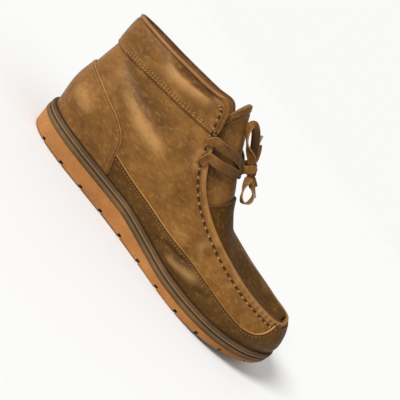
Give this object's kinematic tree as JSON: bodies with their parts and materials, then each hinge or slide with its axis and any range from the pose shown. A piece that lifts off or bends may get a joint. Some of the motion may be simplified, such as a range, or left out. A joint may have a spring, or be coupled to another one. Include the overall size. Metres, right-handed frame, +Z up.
{
  "type": "chukka boot",
  "caption": "Right ankle boot with a moccasin toe, padded collar, tied flat lace and a ridged gum wedge sole with side lugs.",
  "frame": {"origin": "middle of the shoe's underside, on the floor, at the centre of its length and width", "axes": "+X to the toe, +Y to the inner side of the foot, +Z up"},
  "size_m": [0.3046, 0.1064, 0.1536],
  "materials": {
    "gum": "matte moulded gum with fine ribs",
    "welt": "matte grey-brown ridged strip",
    "leather": "oiled, mottled, pull-up",
    "lining": "plain woven lining",
    "lace": "flat woven cotton",
    "tag": "clear film over the lace"
  },
  "bodies": {
    "root": {"outsole": "gum", "midsole": "welt", "insole": "lining", "upper": "leather", "heel_counter": "leather", "mudguard_lateral": "leather", "mudguard_medial": "leather", "collar": "leather", "tongue": "leather", "lace_bars": "lace", "lace_knot": "lace", "lace_loop_upper": "lace", "lace_loop_lower": "lace", "lace_end_upper": "lace", "lace_end_lower": "lace", "lace_tag_upper": "tag", "lace_tag_lower": "tag"}
  },
  "joints": []
}
